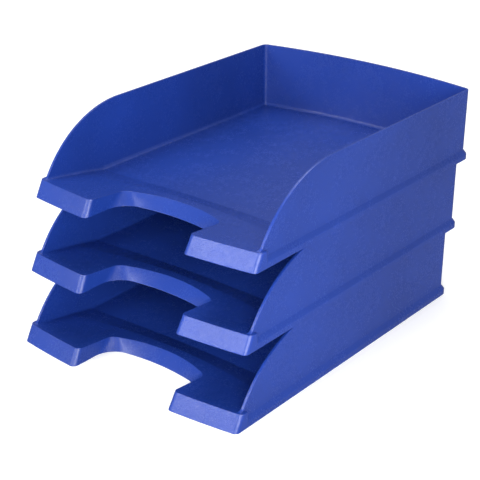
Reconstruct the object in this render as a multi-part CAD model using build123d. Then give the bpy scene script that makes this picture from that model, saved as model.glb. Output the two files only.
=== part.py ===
"""Stepped stack of three open-front letter trays for A4 paper.

Each tray is one moulding: a flat floor, two side walls that sweep down to the
front, a bowed back wall, a skirt round the foot that laps over the rim of the
tray below, and a hollow front ledge with a wide finger notch cut through it.

Frame: +X to the right seen from the open front, +Y to the back, +Z up.
Origin: middle of the stack's footprint, on the surface that it stands on.
Units: millimetres.
"""
from build123d import *
import math
import os

# Driving dimensions of one tray
TRAY_WIDTH = 255.0
TRAY_DEPTH = 357.0
TRAY_HEIGHT = 70.0
WALL = 2.4

# How the trays stand on each other
TRAY_NAMES = ("bottom_tray", "middle_tray", "top_tray")
STEP_BACK = 12.0
FLOOR_UNDERSIDE = 1.0
STACK_PITCH = TRAY_HEIGHT - FLOOR_UNDERSIDE

# Floor, skirt and walls
FLOOR_TOP = FLOOR_UNDERSIDE + WALL
SKIRT_OVERHANG = 3.3
SKIRT_FACE_HEIGHT = 5.0
SKIRT_SHOULDER_TOP = 9.5
WALL_LEAN = 0.5
SKIRT_CORNER = 9.0
BACK_BOW = 14.0
FLOOR_FILLET = 2.8
RIM_ROUND = 0.6
SHOULDER_ROUND = 1.6

# Side walls: full height at the back, then one convex arc down to the front ledge
SWEEP_START = -63.2
SWEEP_RADIUS = 113.0
SWEEP_FOOT_RADIUS = 6.0

# Front ledge: heights of its two creases and of its lip
LIP_HEIGHT = 15.0
LIP_SLANT = 8.0
FRONT_BOW = 9.0
FRONT_CORNER = 4.5
RAMP_START = -86.0
RAMP_START_BOW = 5.5
CREST_HEIGHT = 9.0
CREST = -105.5
CREST_BOW = 18.0
SIDE_STEP = -156.5

# Finger notch, at the foot of the ledge and at the height of its lip
NOTCH_LIP_ROUND = 5.0
NOTCH_HALF_WIDTH = (55.7, 56.8)
NOTCH_BACK = (-126.3, -109.4)
NOTCH_BOW = (7.3, 15.4)
NOTCH_CORNER = (22.0, 7.0)

# Underside: wall of the skirt, and where the recess under the floor ends at the front
SKIRT_WALL = 2.2
HOLLOW_FRONT = -100.0

# Join of the ledge and the rest: how far back the ledge reaches, and the gap in the
# side walls' plan that it fills
LEDGE_BACK = -70.0
OPEN_FRONT_HALF = 118.0
OPEN_FRONT_BACK = -95.0

HALF_WIDTH = TRAY_WIDTH / 2
HALF_DEPTH = TRAY_DEPTH / 2
FAR = 400.0


def bow_radius(half_chord, rise):
    """Radius of the arc that rises by `rise` over a chord of twice `half_chord`."""
    return (half_chord**2 + rise**2) / (2 * rise)


BACK_RADIUS = bow_radius(HALF_WIDTH, BACK_BOW)
FRONT_RADIUS = bow_radius(HALF_WIDTH, FRONT_BOW)
# The notch takes away the crown of the bowed front, so the foremost point that is
# left lies on the rounded corner beside the notch
LIP_ROUND_REACH = FRONT_RADIUS - NOTCH_LIP_ROUND
LIP_ROUND_X = NOTCH_HALF_WIDTH[0] + NOTCH_LIP_ROUND
FRONT_FALL = LIP_ROUND_REACH - math.sqrt(LIP_ROUND_REACH**2 - LIP_ROUND_X**2)
FRONT_CROWN = -HALF_DEPTH - FRONT_FALL
LIP_CORNER = FRONT_CROWN + LIP_SLANT + FRONT_BOW


def bow_at(x, rise, half_chord=HALF_WIDTH):
    """How far an arc with that rise has fallen away from its crown at `x`."""
    radius = bow_radius(half_chord, rise)
    return radius - math.sqrt(radius**2 - x**2)


def tub_outline(inset, front, height):
    """Plan of the tray: straight front and sides, rounded corners, bowed back.

    `inset` is the even distance inside the outer face of the skirt.
    """
    side = HALF_WIDTH - inset
    back = HALF_DEPTH - inset
    corner = SKIRT_CORNER - inset
    centre = HALF_DEPTH - BACK_RADIUS
    radius = BACK_RADIUS - inset
    corner_x = side - corner
    corner_y = centre + math.sqrt((radius - corner) ** 2 - corner_x**2)
    turn = math.atan2(corner_y - centre, corner_x)
    meet = (radius * math.cos(turn), centre + radius * math.sin(turn))
    middle = (
        corner_x + corner * math.cos(turn / 2),
        corner_y + corner * math.sin(turn / 2),
    )

    def half(sign):
        """Side and corner of one half."""
        def at(x, y):
            return (sign * x, y)
        return [
            Line(at(side, front), at(side, corner_y)),
            ThreePointArc(at(side, corner_y), at(*middle), at(*meet)),
        ]

    crown = ThreePointArc(meet, (0, back), (-meet[0], meet[1]))
    closing = Line((side, front), (-side, front))
    edges = half(1) + [crown] + half(-1) + [closing]
    return Pos(0, 0, height) * make_face(Wire(edges))


def lerp(pair, height):
    """Value at a height, from its values at the foot and at the lip."""
    return pair[0] + (pair[1] - pair[0]) * height / LIP_HEIGHT


def front_outline(height, half_width, back, wall=0.0):
    """Plan of the front ledge at a height, with the notch; `wall` shrinks it evenly."""
    slope = math.hypot(1, LIP_SLANT / LIP_HEIGHT)
    notch_slope = math.hypot(1, (NOTCH_BACK[1] - NOTCH_BACK[0]) / LIP_HEIGHT)
    front = FRONT_CROWN + LIP_SLANT * height / LIP_HEIGHT + wall * slope
    side = half_width - wall
    notch_side = lerp(NOTCH_HALF_WIDTH, height) + wall
    notch_back = lerp(NOTCH_BACK, height) + wall * notch_slope
    notch_bow = lerp(NOTCH_BOW, height)
    notch_corner = lerp(NOTCH_CORNER, height) + wall

    front_centre = front + FRONT_RADIUS
    outer_corner = max(FRONT_CORNER - wall, 1.0)
    inner_corner = max(NOTCH_LIP_ROUND - wall, 1.0)

    # Outer corner: tangent to the side and to the bowed front
    ax = side - outer_corner
    ay = front_centre - math.sqrt((FRONT_RADIUS - outer_corner) ** 2 - ax**2)
    grow = FRONT_RADIUS / (FRONT_RADIUS - outer_corner)
    front_outer = (ax * grow, front_centre + (ay - front_centre) * grow)
    # Inner corner of the lip: tangent to the bowed front and to the notch side
    bx = notch_side + inner_corner
    by = front_centre - math.sqrt((FRONT_RADIUS - inner_corner) ** 2 - bx**2)
    grow = FRONT_RADIUS / (FRONT_RADIUS - inner_corner)
    front_inner = (bx * grow, front_centre + (by - front_centre) * grow)
    front_middle_x = (front_outer[0] + front_inner[0]) / 2
    front_middle = (
        front_middle_x,
        front_centre - math.sqrt(FRONT_RADIUS**2 - front_middle_x**2),
    )
    # Corner at the back of the notch: tangent to its side and to its bowed back
    notch_radius = bow_radius(notch_side, notch_bow)
    notch_centre = notch_back - notch_radius
    cx = notch_side - notch_corner
    cy = notch_centre + math.sqrt((notch_radius - notch_corner) ** 2 - cx**2)
    grow = notch_radius / (notch_radius - notch_corner)
    notch_meet = (cx * grow, notch_centre + (cy - notch_centre) * grow)

    def on_corner(centre, radius, start, end):
        """Middle of a corner arc between two angles in degrees."""
        angle = math.radians((start + end) / 2)
        return (centre[0] + radius * math.cos(angle), centre[1] + radius * math.sin(angle))

    def angle_to(centre, point):
        return math.degrees(math.atan2(point[1] - centre[1], point[0] - centre[0]))

    outer_middle = on_corner((ax, ay), outer_corner, 0, angle_to((ax, ay), front_outer))
    inner_middle = on_corner((bx, by), inner_corner, angle_to((bx, by), front_inner), -180)
    back_middle = on_corner((cx, cy), notch_corner, 0, angle_to((cx, cy), notch_meet))

    def half(sign):
        """Edges of one half, from the back outer corner to the notch."""
        def at(point):
            return (sign * point[0], point[1])
        return [
            Line(at((side, back)), at((side, ay))),
            ThreePointArc(at((side, ay)), at(outer_middle), at(front_outer)),
            ThreePointArc(at(front_outer), at(front_middle), at(front_inner)),
            ThreePointArc(at(front_inner), at(inner_middle), at((notch_side, by))),
            Line(at((notch_side, by)), at((notch_side, cy))),
            ThreePointArc(at((notch_side, cy)), at(back_middle), at(notch_meet)),
        ]

    crown = ThreePointArc(notch_meet, (0, notch_back), (-notch_meet[0], notch_meet[1]))
    closing = Line((side, back), (-side, back))
    edges = half(1) + [crown] + half(-1) + [closing]
    return Pos(0, 0, height) * make_face(Wire(edges))


def front_block(half_width, back, bottom, top, wall=0.0):
    """Solid front ledge between two heights, flat on top."""
    return loft(
        [
            front_outline(bottom, half_width, back, wall),
            front_outline(top, half_width, back, wall),
        ],
        ruled=True,
    )


def above_floor(drop):
    """Everything over the floor, the ramp up from it, the crest and the lip.

    `drop` lowers the surface, which gives the underside of the moulding.
    """
    sections = []
    reach = HALF_WIDTH + 1
    for share in (-1, -0.5, 0, 0.5, 1):
        x = share * reach
        ramp = RAMP_START - bow_at(x, RAMP_START_BOW, reach)
        crest = CREST - bow_at(x, CREST_BOW, reach)
        lip = FRONT_CROWN + LIP_SLANT + bow_at(x, FRONT_BOW, reach)
        rise = (LIP_HEIGHT - CREST_HEIGHT) / (crest - lip)
        beyond = lip - 30
        outline = [
            (x, HALF_DEPTH + 10, FLOOR_TOP - drop),
            (x, ramp, FLOOR_TOP - drop),
            (x, crest, CREST_HEIGHT - drop),
            (x, beyond, CREST_HEIGHT - drop + rise * (crest - beyond)),
            (x, beyond, TRAY_HEIGHT + 5),
            (x, HALF_DEPTH + 10, TRAY_HEIGHT + 5),
        ]
        sections.append(make_face(Wire(Polyline(*outline, close=True).edges())))
    return loft(sections)


def above_side_sweep():
    """Everything over the swept top edge of the side walls, right across the tray."""
    centre = (SWEEP_START, TRAY_HEIGHT - SWEEP_RADIUS)
    foot_z = LIP_HEIGHT + SWEEP_FOOT_RADIUS
    reach = SWEEP_RADIUS + SWEEP_FOOT_RADIUS
    foot_y = centre[0] - math.sqrt(reach**2 - (foot_z - centre[1]) ** 2)
    share = SWEEP_RADIUS / reach
    meet = (
        centre[0] + (foot_y - centre[0]) * share,
        centre[1] + (foot_z - centre[1]) * share,
    )
    mid_angle = (math.pi / 2 + math.atan2(meet[1] - centre[1], meet[0] - centre[0])) / 2
    crown = (
        centre[0] + SWEEP_RADIUS * math.cos(mid_angle),
        centre[1] + SWEEP_RADIUS * math.sin(mid_angle),
    )
    foot_angle = math.atan2(meet[1] - foot_z, meet[0] - foot_y)
    foot_mid_angle = (foot_angle - math.pi / 2) / 2
    foot_middle = (
        foot_y + SWEEP_FOOT_RADIUS * math.cos(foot_mid_angle),
        foot_z + SWEEP_FOOT_RADIUS * math.sin(foot_mid_angle),
    )
    over = TRAY_HEIGHT + 20
    front = LIP_CORNER - 60

    def at(point):
        return (-FAR / 2, point[0], point[1])

    start = (SWEEP_START, TRAY_HEIGHT)
    edges = [
        Line(at((SWEEP_START, over)), at(start)),
        ThreePointArc(at(start), at(crown), at(meet)),
        ThreePointArc(at(meet), at(foot_middle), at((foot_y, LIP_HEIGHT))),
        Line(at((foot_y, LIP_HEIGHT)), at((front, LIP_HEIGHT))),
        Line(at((front, LIP_HEIGHT)), at((front, over))),
        Line(at((front, over)), at((SWEEP_START, over))),
    ]
    return extrude(make_face(Wire(edges)), amount=FAR, dir=(1, 0, 0))


def box_between(low, high):
    """Axis-aligned box from its lowest to its highest corner."""
    size = [b - a for a, b in zip(low, high)]
    middle = [(a + b) / 2 for a, b in zip(low, high)]
    return Pos(*middle) * Box(*size)


def wall_inset(height):
    """Distance of a wall's outer face inside the skirt, which the walls lean out towards."""
    share = (height - SKIRT_SHOULDER_TOP) / (TRAY_HEIGHT - SKIRT_SHOULDER_TOP)
    return SKIRT_OVERHANG - WALL_LEAN * share


def tub(levels, front):
    """Solid through plans of the tray, each given as height and inset."""
    return loft([tub_outline(inset, front, height) for height, inset in levels], ruled=True)


def is_rim(edge):
    """Whether an edge runs sharp along the top of the walls or down their sweep."""
    start, middle, end = edge @ 0, edge @ 0.5, edge @ 1
    on_top = middle.Z > TRAY_HEIGHT - 0.1
    on_sweep = (
        abs(middle.X) > HALF_WIDTH - 20
        and middle.Z > LIP_HEIGHT + 0.3
        and abs(start.Z - end.Z) > 0.5
        and abs(start.Y - end.Y) > 1
    )
    return edge.length > 3 and (on_top or on_sweep)


def is_shoulder(edge):
    """Whether an edge is the skirt's long edge between its face and its shoulder."""
    furthest = max(abs((edge @ end).Z - SKIRT_FACE_HEIGHT) for end in (0, 1))
    return edge.length > 3 and furthest < 0.01


def make_outside():
    """The tray's outer shape, filled in."""
    skirt = tub(
        [(0, 0), (SKIRT_FACE_HEIGHT, 0), (SKIRT_SHOULDER_TOP, SKIRT_OVERHANG + 0.3)],
        SIDE_STEP - 6,
    )
    over_sweep = above_side_sweep()
    walls = tub([(1, wall_inset(1)), (TRAY_HEIGHT, wall_inset(TRAY_HEIGHT))], LIP_CORNER)
    walls -= over_sweep
    walls = fillet([edge for edge in walls.edges() if is_rim(edge)], RIM_ROUND)
    open_front = box_between(
        (-OPEN_FRONT_HALF, -FAR, -1), (OPEN_FRONT_HALF, OPEN_FRONT_BACK, TRAY_HEIGHT + 1)
    )
    ledge = front_block(HALF_WIDTH, LEDGE_BACK, 0, LIP_HEIGHT + 2)
    # Beside the walls the ledge stops at the side step, and at the lip's height before it
    near = HALF_WIDTH - SKIRT_OVERHANG - 0.8
    for low, high in ((-FAR, -near), (near, FAR)):
        ledge -= box_between((low, SIDE_STEP, -1), (high, LEDGE_BACK + 1, FAR))
        ledge -= box_between((low, -FAR, LIP_HEIGHT), (high, SIDE_STEP + 1, FAR))
    return (skirt + walls - open_front) + (ledge - over_sweep)


def make_room():
    """The space inside the tray, over its floor and ledge and between its walls."""
    top = TRAY_HEIGHT + 5
    between_walls = tub([(0, wall_inset(0) + WALL), (top, wall_inset(top) + WALL)], -FAR / 2)
    room = between_walls & above_floor(0)
    foot = [edge for edge in room.edges() if is_foot(edge @ 0.5)]
    return fillet(foot, FLOOR_FILLET)


def is_foot(point):
    """Whether a point on the room lies where the floor or ledge meets a wall."""
    by_side = abs(point.X) > HALF_WIDTH - 20
    by_back = point.Y > HALF_DEPTH - 60
    return point.Z < LIP_HEIGHT + 2 and (by_side or by_back)


def make_hollow():
    """The space underneath, inside the skirt and up into the front ledge."""
    under_floor = tub([(-1, SKIRT_WALL), (FLOOR_UNDERSIDE, SKIRT_WALL)], HOLLOW_FRONT)
    in_ledge = front_block(HALF_WIDTH, LEDGE_BACK - 5, -0.5, LIP_HEIGHT + 1, wall=WALL)
    inner = HALF_WIDTH - SKIRT_OVERHANG - WALL
    before_step = box_between((-FAR, -FAR, -1), (FAR, SIDE_STEP - WALL, FAR))
    behind_step = box_between((-inner, SIDE_STEP - WALL - 1, -1), (inner, LEDGE_BACK - 6, FAR))
    in_ledge &= before_step + behind_step
    return under_floor + (in_ledge - above_floor(WALL))


def make_tray():
    """One tray, standing on its own origin."""
    tray = make_outside() - make_room() - make_hollow()
    return fillet([edge for edge in tray.edges() if is_shoulder(edge)], SHOULDER_ROUND)


if __name__ == "__main__":
    os.makedirs("parts", exist_ok=True)
    tray = make_tray()
    for level, name in enumerate(TRAY_NAMES):
        place = Pos(0, (level - 1) * STEP_BACK, level * STACK_PITCH)
        export_step(place * tray, f"parts/{name}.step")
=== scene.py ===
"""Stepped stack of three letter trays in deep blue polystyrene, on a pale studio floor.

Everything is in metres, in the row frame: +X right, +Y to the back, +Z up.
"""
import math

import bpy
from mathutils import Matrix, Vector

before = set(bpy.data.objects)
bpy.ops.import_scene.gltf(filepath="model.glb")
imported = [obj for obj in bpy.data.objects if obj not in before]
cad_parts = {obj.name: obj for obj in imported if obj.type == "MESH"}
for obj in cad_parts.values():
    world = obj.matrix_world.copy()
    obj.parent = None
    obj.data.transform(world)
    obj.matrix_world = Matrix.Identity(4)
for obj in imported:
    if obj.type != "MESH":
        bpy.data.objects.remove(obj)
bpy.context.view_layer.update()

# Where the camera stands, what it looks at, and its lens on a 36 mm sensor
CAMERA_PLACE = Vector((0.6869, -0.8734, 0.5816))
CAMERA_LOOK = Vector((-0.5711, 0.7084, -0.41475))
CAMERA_ROLL = math.radians(0.1)
CAMERA_LENS = 95.6

# Plastic: its colour, and the size and depth of its moulded grain
PLASTIC_BLUE = (0.0115, 0.040, 0.262)
EDGE_SOFTNESS = 0.0006
GRAIN_DENSITY = 1300.0
PIT_DENSITY = 620.0
GRAIN_DEPTH = 0.00036

# Studio: floor colours, its own glow, the surroundings, and the soft lights as name,
# place, size, power and target
FLOOR_WHITE = (0.80, 0.80, 0.80, 1.0)
FLOOR_MOTTLE = (0.76, 0.76, 0.76, 1.0)
FLOOR_GLOW = 0.32
SURROUNDINGS = 0.28
STACK_MIDDLE = (0.0, 0.0, 0.1)
SOFT_LIGHTS = (
    ("key_front_left", (-0.80, -1.95, 1.00), (0.8, 0.6), 23.0, STACK_MIDDLE),
    ("top_soft", (-0.3, 0.4, 2.4), (1.7, 1.7), 48.0, STACK_MIDDLE),
    ("front_fill", (0.9, -2.3, 0.55), (1.5, 1.0), 20.0, STACK_MIDDLE),
    ("side_glow", (0.60, -0.66, 0.36), (0.4, 0.4), 6.5, (0.125, -0.10, 0.12)),
)

# Studio floor: radius of the whole, height of its wall, radius of the bend between them,
# and radius of the flat middle face
SWEEP_REACH = 20.0
SWEEP_RISE = 10.0
SWEEP_BEND = 5.0
SWEEP_CORE = 2.0
SWEEP_SIDES = 96
SWEEP_STEPS = 16


class Nodes:
    """Small helper that builds a shader node tree."""

    def __init__(self, material):
        material.use_nodes = True
        self.tree = material.node_tree
        self.tree.nodes.clear()

    def add(self, kind, inputs=None, **settings):
        """A node with its settings, and its inputs as values or sockets to link from."""
        node = self.tree.nodes.new(kind)
        for name, value in settings.items():
            setattr(node, name, value)
        for name, value in (inputs or {}).items():
            if isinstance(value, bpy.types.NodeSocket):
                self.tree.links.new(value, node.inputs[name])
            else:
                node.inputs[name].default_value = value
        return node

    def noise(self, vector, scale, detail=2.0, roughness=0.5):
        """Fractal noise from 0 to 1."""
        return self.add(
            "ShaderNodeTexNoise",
            {"Vector": vector, "Scale": scale, "Detail": detail, "Roughness": roughness},
        ).outputs["Fac"]

    def remap(self, value, low, high, to_low, to_high):
        """A value remapped from one range to another, and held inside it."""
        return self.add(
            "ShaderNodeMapRange",
            {
                "Value": value,
                "From Min": low,
                "From Max": high,
                "To Min": to_low,
                "To Max": to_high,
            },
        ).outputs["Result"]

    def math(self, operation, first, second):
        """Two numbers combined."""
        return self.add("ShaderNodeMath", {0: first, 1: second}, operation=operation).outputs[0]

    def mix(self, factor, first, second):
        """Two colours mixed."""
        node = self.add("ShaderNodeMix", {"Factor": factor}, data_type="RGBA")
        for index, value in ((6, first), (7, second)):
            if isinstance(value, bpy.types.NodeSocket):
                self.tree.links.new(value, node.inputs[index])
            else:
                node.inputs[index].default_value = value
        return node.outputs[2]

    def finish(self, shader):
        """The shader goes to the surface."""
        self.add("ShaderNodeOutputMaterial", {"Surface": shader})


def make_plastic():
    """Injection-moulded polystyrene: satin gloss over a fine eroded grain."""
    material = bpy.data.materials.new("tray_plastic")
    n = Nodes(material)
    place = n.add("ShaderNodeTexCoord").outputs["Object"]

    # Soft edges, as the mould leaves them, and a mask of those edges for a painted highlight
    edge = n.add("ShaderNodeBevel", {"Radius": EDGE_SOFTNESS}, samples=8).outputs["Normal"]
    flat = n.add("ShaderNodeNewGeometry").outputs["Normal"]
    facing = n.add("ShaderNodeVectorMath", {0: edge, 1: flat}, operation="DOT_PRODUCT")
    edge_highlight_mask = n.remap(facing.outputs["Value"], 0.995, 0.80, 0.0, 1.0)

    # Grain in two sizes, and broad uneven flow of the melt
    grain = n.noise(place, GRAIN_DENSITY, 2.0, 0.6)
    pits = n.noise(place, PIT_DENSITY, 2.0, 0.5)
    flow = n.noise(place, 6.0, 3.0, 0.55)
    scuffs = n.noise(place, 38.0, 5.0, 0.65)
    height = n.math("ADD", n.math("MULTIPLY", grain, 0.6), n.math("MULTIPLY", pits, 0.4))
    bump = n.add(
        "ShaderNodeBump",
        {"Strength": 1.0, "Distance": GRAIN_DEPTH, "Height": height, "Normal": edge},
    ).outputs["Normal"]

    deep = tuple(0.86 * c for c in PLASTIC_BLUE) + (1.0,)
    light = tuple(1.14 * c for c in PLASTIC_BLUE) + (1.0,)
    # Paler blue for the edges: a painted highlight
    pale = tuple(0.90 * c + 0.020 for c in PLASTIC_BLUE) + (1.0,)
    colour = n.mix(n.remap(flow, 0.3, 0.7, 0.0, 1.0), deep, light)
    # Edges mixed towards the paler blue: painted highlight along the rounded edges
    colour = n.mix(n.math("MULTIPLY", edge_highlight_mask, 0.35), colour, pale)

    rough = n.remap(scuffs, 0.35, 0.75, 0.23, 0.30)
    rough = n.math("ADD", rough, n.remap(pits, 0.3, 0.7, -0.02, 0.03))
    shader = n.add(
        "ShaderNodeBsdfPrincipled",
        {
            "Base Color": colour,
            "Roughness": rough,
            "Normal": bump,
            "IOR": 1.59,
            "Specular IOR Level": 0.40,
        },
    )
    n.finish(shader.outputs["BSDF"])
    return material


def make_floor_paint():
    """Matte white studio sweep with a hardly visible mottle and a faint glow of its own."""
    material = bpy.data.materials.new("studio_floor")
    n = Nodes(material)
    place = n.add("ShaderNodeTexCoord").outputs["Object"]
    mottle = n.remap(n.noise(place, 3.0, 3.0), 0.3, 0.7, 0.985, 1.0)
    colour = n.mix(mottle, FLOOR_MOTTLE, FLOOR_WHITE)
    shader = n.add(
        "ShaderNodeBsdfPrincipled",
        {
            "Base Color": colour,
            "Roughness": 0.85,
            "Emission Color": (1.0, 1.0, 1.0, 1.0),
            "Emission Strength": FLOOR_GLOW,
        },
    )
    n.finish(shader.outputs["BSDF"])
    return material


def make_floor(material):
    """Round flat floor under the stack that curves up to a wall far away on all sides."""
    flat = SWEEP_REACH - SWEEP_BEND
    profile = [(SWEEP_CORE, 0.0), (flat, 0.0)]
    for step in range(1, SWEEP_STEPS + 1):
        angle = math.radians(90 * step / SWEEP_STEPS)
        radius = flat + SWEEP_BEND * math.sin(angle)
        profile.append((radius, SWEEP_BEND * (1 - math.cos(angle))))
    profile.append((SWEEP_REACH, SWEEP_RISE))
    around = [math.tau * side / SWEEP_SIDES for side in range(SWEEP_SIDES)]
    verts = [(r * math.cos(a), r * math.sin(a), z) for r, z in profile for a in around]
    faces = [tuple(range(SWEEP_SIDES))]
    for ring in range(len(profile) - 1):
        inner, outer = ring * SWEEP_SIDES, (ring + 1) * SWEEP_SIDES
        for side in range(SWEEP_SIDES):
            after = (side + 1) % SWEEP_SIDES
            faces.append((inner + side, outer + side, outer + after, inner + after))
    mesh = bpy.data.meshes.new("studio_floor")
    mesh.from_pydata(verts, [], faces)
    mesh.shade_smooth()
    mesh.materials.append(material)
    floor = bpy.data.objects.new("studio_floor", mesh)
    bpy.context.scene.collection.objects.link(floor)
    # Glossy walls would otherwise mirror the bright floor and turn grey
    floor.visible_glossy = False


def aim(obj, target, roll=0.0):
    """Turns a camera or lamp so that it looks at a point."""
    look = (target - obj.location).to_track_quat("-Z", "Y")
    obj.rotation_mode = "QUATERNION"
    obj.rotation_quaternion = look @ Matrix.Rotation(roll, 3, "Z").to_quaternion()


def add_soft_light(name, place, size, power, target):
    """Rectangular softbox."""
    data = bpy.data.lights.new(name, "AREA")
    data.shape = "RECTANGLE"
    data.size, data.size_y = size
    data.energy = power
    lamp = bpy.data.objects.new(name, data)
    bpy.context.scene.collection.objects.link(lamp)
    lamp.location = place
    aim(lamp, Vector(target))


def add_camera():
    """Ordinary unshifted camera, in front of the stack, to its right and above it."""
    data = bpy.data.cameras.new("camera")
    data.lens = CAMERA_LENS
    data.sensor_width = 36.0
    camera = bpy.data.objects.new("camera", data)
    bpy.context.scene.collection.objects.link(camera)
    camera.location = CAMERA_PLACE
    aim(camera, CAMERA_PLACE + CAMERA_LOOK, CAMERA_ROLL)
    bpy.context.scene.camera = camera


def set_world():
    """Even pale surroundings."""
    world = bpy.data.worlds.new("studio")
    world.use_nodes = True
    background = world.node_tree.nodes["Background"]
    background.inputs["Color"].default_value = (1.0, 1.0, 1.0, 1.0)
    background.inputs["Strength"].default_value = SURROUNDINGS
    bpy.context.scene.world = world
    bpy.context.scene.view_settings.view_transform = "Standard"


plastic = make_plastic()
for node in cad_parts.values():
    node.data.materials.clear()
    node.data.materials.append(plastic)

make_floor(make_floor_paint())
set_world()
for light in SOFT_LIGHTS:
    add_soft_light(*light)
add_camera()
